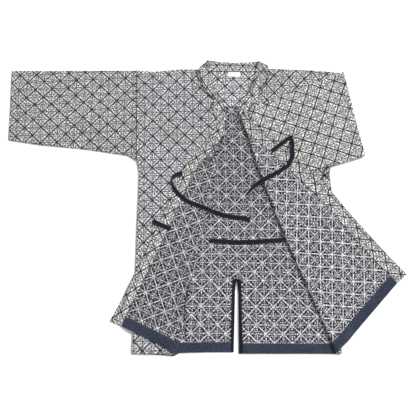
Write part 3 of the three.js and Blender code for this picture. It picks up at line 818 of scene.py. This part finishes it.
def tie(node, path, under):
    """Flat tape over what is below; rows are x, y and the width that shows."""
    pts = []
    for a, b in zip(path, path[1:]):
        n = max(1, round(math.hypot(b[0] - a[0], b[1] - a[1]) / 3))
        pts += [tuple(mix(a[i], b[i], k / n) for i in range(3)) for k in range(n)]
    pts.append(path[-1])
    for _ in range(2):
        pts = [pts[0]] + [tuple((a[i] + 2 * b[i] + c[i]) / 4 for i in range(3))
                          for a, b, c in zip(pts, pts[1:], pts[2:])] + [pts[-1]]
    index, run = {}, 0.0
    rows = []
    for i, p in enumerate(pts):
        a, b = pts[max(0, i - 1)], pts[min(len(pts) - 1, i + 1)]
        n = math.hypot(b[0] - a[0], b[1] - a[1])
        ox, oy = -(b[1] - a[1]) / n, (b[0] - a[0]) / n
        if i:
            run += math.hypot(p[0] - pts[i - 1][0], p[1] - pts[i - 1][1])
        # Five points across; where less than the whole width shows, the tape stands up on one edge.
        row = []
        for k in range(5):
            w = (k / 2 - 1) * p[2] / 2
            tip = math.sqrt(max(0.0, 1 - (p[2] / TIE_WIDE) ** 2)) * (k / 4) * TIE_WIDE * 0.5
            row.append((p[0] + ox * w, p[1] + oy * w, tip, run, (k / 2 - 1) * TIE_WIDE / 2))
        rows.append(row)
    first = [(c[0], c[1], under(c[0], c[1]) + 0.4 + c[2]) for row in rows for c in row]
    second = [(x, y, z + TAPE) for x, y, z in first]
    n, m = len(first), len(rows)
    faces, kinds = [], []

    def add(f, kind):
        faces.append(f)
        kinds.append(kind)

    for i in range(m - 1):
        for k in range(4):
            a, b, c, d = i * 5 + k, (i + 1) * 5 + k, (i + 1) * 5 + k + 1, i * 5 + k + 1
            add([a, d, c, b], 1)
            add([a + n, b + n, c + n, d + n], 0)
        a, b = i * 5, (i + 1) * 5
        add([a, b, b + n, a + n], 2)
        add([a + 4, a + 4 + n, b + 4 + n, b + 4], 2)
    for k in range(4):
        add([k, k + n, k + 1 + n, k + 1], 2)
        a = (m - 1) * 5 + k
        add([a, a + 1, a + 1 + n, a + n], 2)
    uvs = [(c[3] / 1000, c[4] / 1000) for row in rows for c in row] * 2
    near = [TIE_WIDE / 2 - abs(c[4]) for row in rows for c in row] * 2
    faces = [f[::-1] for f in faces]
    o = finish_mesh(node + "_cloth", first + second, faces, kinds, uvs, [TAPE_MAT] * 3, near)
    dress(o, node)


tie("tie_upper_right", [(-152, 84, 12), (-165, 81, 12), (-178, 73, 8), (-182, 60, 5), (-177, 44, 8),
    (-165, 27, 12), (-141, 7, 12), (-121, -3, 12), (-96, -12, 11), (-71, -23, 9), (-36, -33, 12),
    (-5, -39, 12), (43, -44, 12)], over_r)
tie("tie_lower_right", [(-229, -53, 12), (-205, -64, 12), (-181, -74, 12)], over_r)
tie("tie_upper_left", [(102, 149, 12), (131, 173, 12), (147, 187, 11), (155, 190, 9), (158, 180, 10),
    (160, 160, 12), (160, 132, 12), (149, 107, 12), (121, 88, 12), (84, 68, 12), (54, 48, 11),
    (33, 27, 7)], over_l)
tie("tie_inner_left", [(142, -98, 11), (72, -105, 12), (-4, -108, 12), (-74, -103, 11)], lambda x, y: CLOTH)

# Label, sewn on the shoulder lining.
LABEL_LEFT, LABEL_RIGHT, LABEL_LOW, LABEL_TOP, LABEL_THICK = -26, 9, 379, 394, 0.5
label_rows = [{"y": LABEL_TOP}, {"y": LABEL_LOW}]
label_cells = grid(strip(label_rows, lambda r: (LABEL_LEFT, r["y"]), lambda r: (LABEL_RIGHT, r["y"])), step=3)
o = shell("neck_label_cloth", label_cells, flat(CLOTH + SEAM + FACING + SEAM), (0, LABEL_THICK), [LABEL] * 3,
    edge=lambda x, y: min(x - LABEL_LEFT, LABEL_RIGHT - x, LABEL_TOP - y, y - LABEL_LOW))
fit(o, "neck_label", label_cells)

# Floor, light and camera, in metres. The floor is just under the cloth.
FLOOR, BELOW = 6, -0.0002
corners = [(-FLOOR, -FLOOR, BELOW), (FLOOR, -FLOOR, BELOW), (FLOOR, FLOOR, BELOW), (-FLOOR, FLOOR, BELOW)]
floor = bpy.data.meshes.new("floor")
floor.from_pydata(corners, [], [(0, 1, 2, 3)])
floor_piece = bpy.data.objects.new("floor", floor)
bpy.context.scene.collection.objects.link(floor_piece)
k = Nodes("pale_floor")
b = k.put("ShaderNodeBsdfDiffuse")
k.feed(b.inputs[0], (0.93, 0.93, 0.93, 1))
k.feed(k.put("ShaderNodeOutputMaterial").inputs[0], b.outputs[0])
floor.materials.append(k.mat)

world = bpy.data.worlds.new("studio")
bpy.context.scene.world = world
world.use_nodes = True
world.node_tree.nodes["Background"].inputs[0].default_value = (1, 1, 1, 1)
world.node_tree.nodes["Background"].inputs[1].default_value = 0.6

# One broad lamp, low enough from the upper right to model the folds.
sun = bpy.data.lights.new("key", "SUN")
sun.energy, sun.angle = 3.1, math.radians(16)
key = bpy.data.objects.new("key", sun)
bpy.context.scene.collection.objects.link(key)
key.rotation_euler = Vector((-0.62, -0.42, -0.78)).to_track_quat("-Z", "Y").to_euler()

# The photo is taken from above, 13 degrees off the vertical, from the hem side.
# Its lens is as long as PIXELS of the photo's WIDTH, and ASIDE is the jacket's place in the picture.
TILT, TURN, FAR, PIXELS, WIDTH = math.radians(13), math.radians(0.704), 1.460, 531.0, 416
ASIDE = (-0.0798776, -0.0114937)
shift = (ASIDE[0], ASIDE[1] - FAR * math.sin(TILT))
c, s = math.cos(TURN), math.sin(TURN)
cam = bpy.data.cameras.new("camera")
cam.sensor_width, cam.lens = 36.0, PIXELS / WIDTH * 36
cam.clip_start, cam.clip_end = 0.05, 50
eye = bpy.data.objects.new("camera", cam)
bpy.context.scene.collection.objects.link(eye)
eye.matrix_world = (Matrix.Translation((shift[0] * c - shift[1] * s, shift[0] * s + shift[1] * c,
    FAR * math.cos(TILT))) @ Matrix.Rotation(TURN, 4, "Z") @ Matrix.Rotation(TILT, 4, "X"))
scene = bpy.context.scene
scene.camera = eye
scene.view_settings.view_transform = "Standard"
